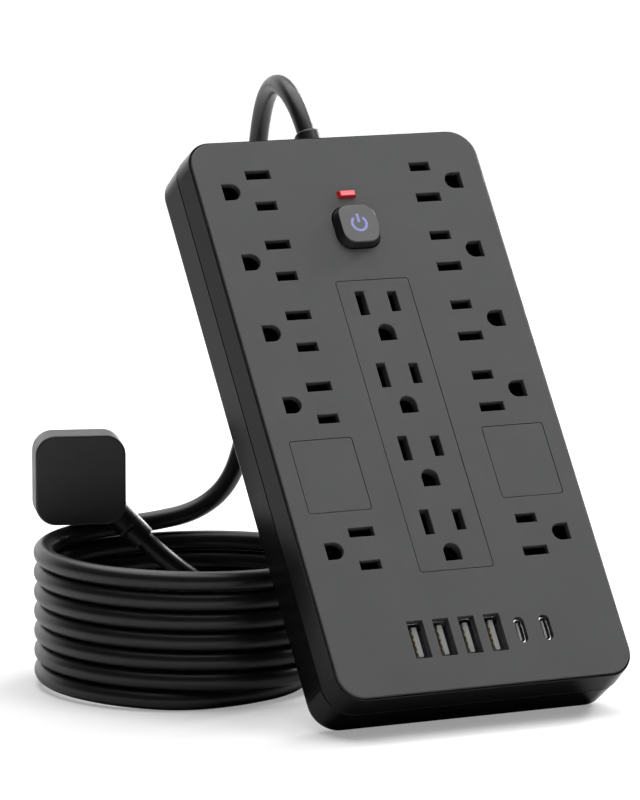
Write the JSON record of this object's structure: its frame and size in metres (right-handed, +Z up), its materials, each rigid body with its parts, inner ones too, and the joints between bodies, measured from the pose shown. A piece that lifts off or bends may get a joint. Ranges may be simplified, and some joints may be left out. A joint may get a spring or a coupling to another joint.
{
  "type": "surge protector plug",
  "caption": "Flat charcoal surge protector with mains outlets and USB ports, leaning back in front of its coiled black lead with a square plug.",
  "frame": {"origin": "on the floor, under the middle of the standing housing", "axes": "+Z up, +X to the right along the housing's width seen from the front, +Y from the face towards the back; the housing leans back 35 degrees"},
  "size_m": [0.1741, 0.2093, 0.2129],
  "materials": {
    "face_plastic": "fine matte texture",
    "frame_plastic": "satin",
    "cover_plastic": "satin",
    "inner_nylon": "moulded",
    "contact_brass": "stamped",
    "insulation_black": "smooth",
    "insulation_white": "smooth",
    "insulation_green": "smooth",
    "button_plastic": "satin",
    "icon_plastic": "glowing",
    "spring_steel": "drawn wire",
    "lens_red": "glowing",
    "lamp_amber": "clear",
    "board_green": "printed board",
    "varistor_blue": "dipped",
    "capacitor_yellow": "moulded",
    "ceramic_white": "glazed",
    "port_steel": "plated",
    "tongue_plastic": "moulded",
    "contact_gold": "plated",
    "screw_steel": "zinc plated",
    "foot_rubber": "matte",
    "lead_rubber": "satin",
    "clamp_nylon": "moulded",
    "plug_plastic": "satin",
    "prong_metal": "nickel plated"
  },
  "bodies": {
    "housing": {"centre_contact_carrier": "inner_nylon", "centre_ground_bus": "contact_brass", "centre_line_bus": "contact_brass", "centre_neutral_bus": "contact_brass", "centre_outlet_plate": "face_plastic", "clamp_saddle": "clamp_nylon", "clamp_screws": "screw_steel", "cord_clamp": "clamp_nylon", "cord_coil": "lead_rubber", "cord_drop": "lead_rubber", "cord_gland": "lead_rubber", "cord_tail": "lead_rubber", "cover_posts": "cover_plastic", "cover_screws": "screw_steel", "filter_capacitor": "capacitor_yellow", "front_panel": "face_plastic", "ground_jumpers": "insulation_green", "ground_pin": "prong_metal", "ground_wire": "insulation_green", "indicator_lamp": "lamp_amber", "indicator_lens": "lens_red", "left_blank_plate": "face_plastic", "left_contact_carrier": "inner_nylon", "left_ground_bus": "contact_brass", "left_line_bus": "contact_brass", "left_neutral_bus": "contact_brass", "line_jumpers": "insulation_black", "line_wire": "insulation_black", "neutral_jumpers": "insulation_white", "neutral_wire": "insulation_white", "plug_blades": "prong_metal", "plug_body": "plug_plastic", "plug_lead": "lead_rubber", "plug_prong_plate": "plug_plastic", "plug_strain_relief": "lead_rubber", "rear_cover": "cover_plastic", "return_spring": "spring_steel", "right_blank_plate": "face_plastic", "right_contact_carrier": "inner_nylon", "right_ground_bus": "contact_brass", "right_line_bus": "contact_brass", "right_neutral_bus": "contact_brass", "rubber_feet": "foot_rubber", "screw_bosses": "face_plastic", "side_frame": "frame_plastic", "surge_board": "board_green", "switch_body": "clamp_nylon", "thermal_fuse": "ceramic_white", "usb_a_cans": "port_steel", "usb_a_contacts": "contact_gold", "usb_a_tongues": "tongue_plastic", "usb_board": "board_green", "usb_c_cans": "port_steel", "usb_c_spacers": "inner_nylon", "usb_c_tongues": "tongue_plastic", "usb_transformer": "capacitor_yellow", "varistors": "varistor_blue"},
    "button": {"power_button": "button_plastic", "power_icon": "icon_plastic", "switch_plunger": "clamp_nylon"}
  },
  "joints": [
    {"name": "button_press", "type": "slide", "parent": "housing", "child": "button", "axis": [0, 0.8192, -0.5736], "range_m": [0, 0.002], "stiffness_N_per_m": 300}
  ]
}
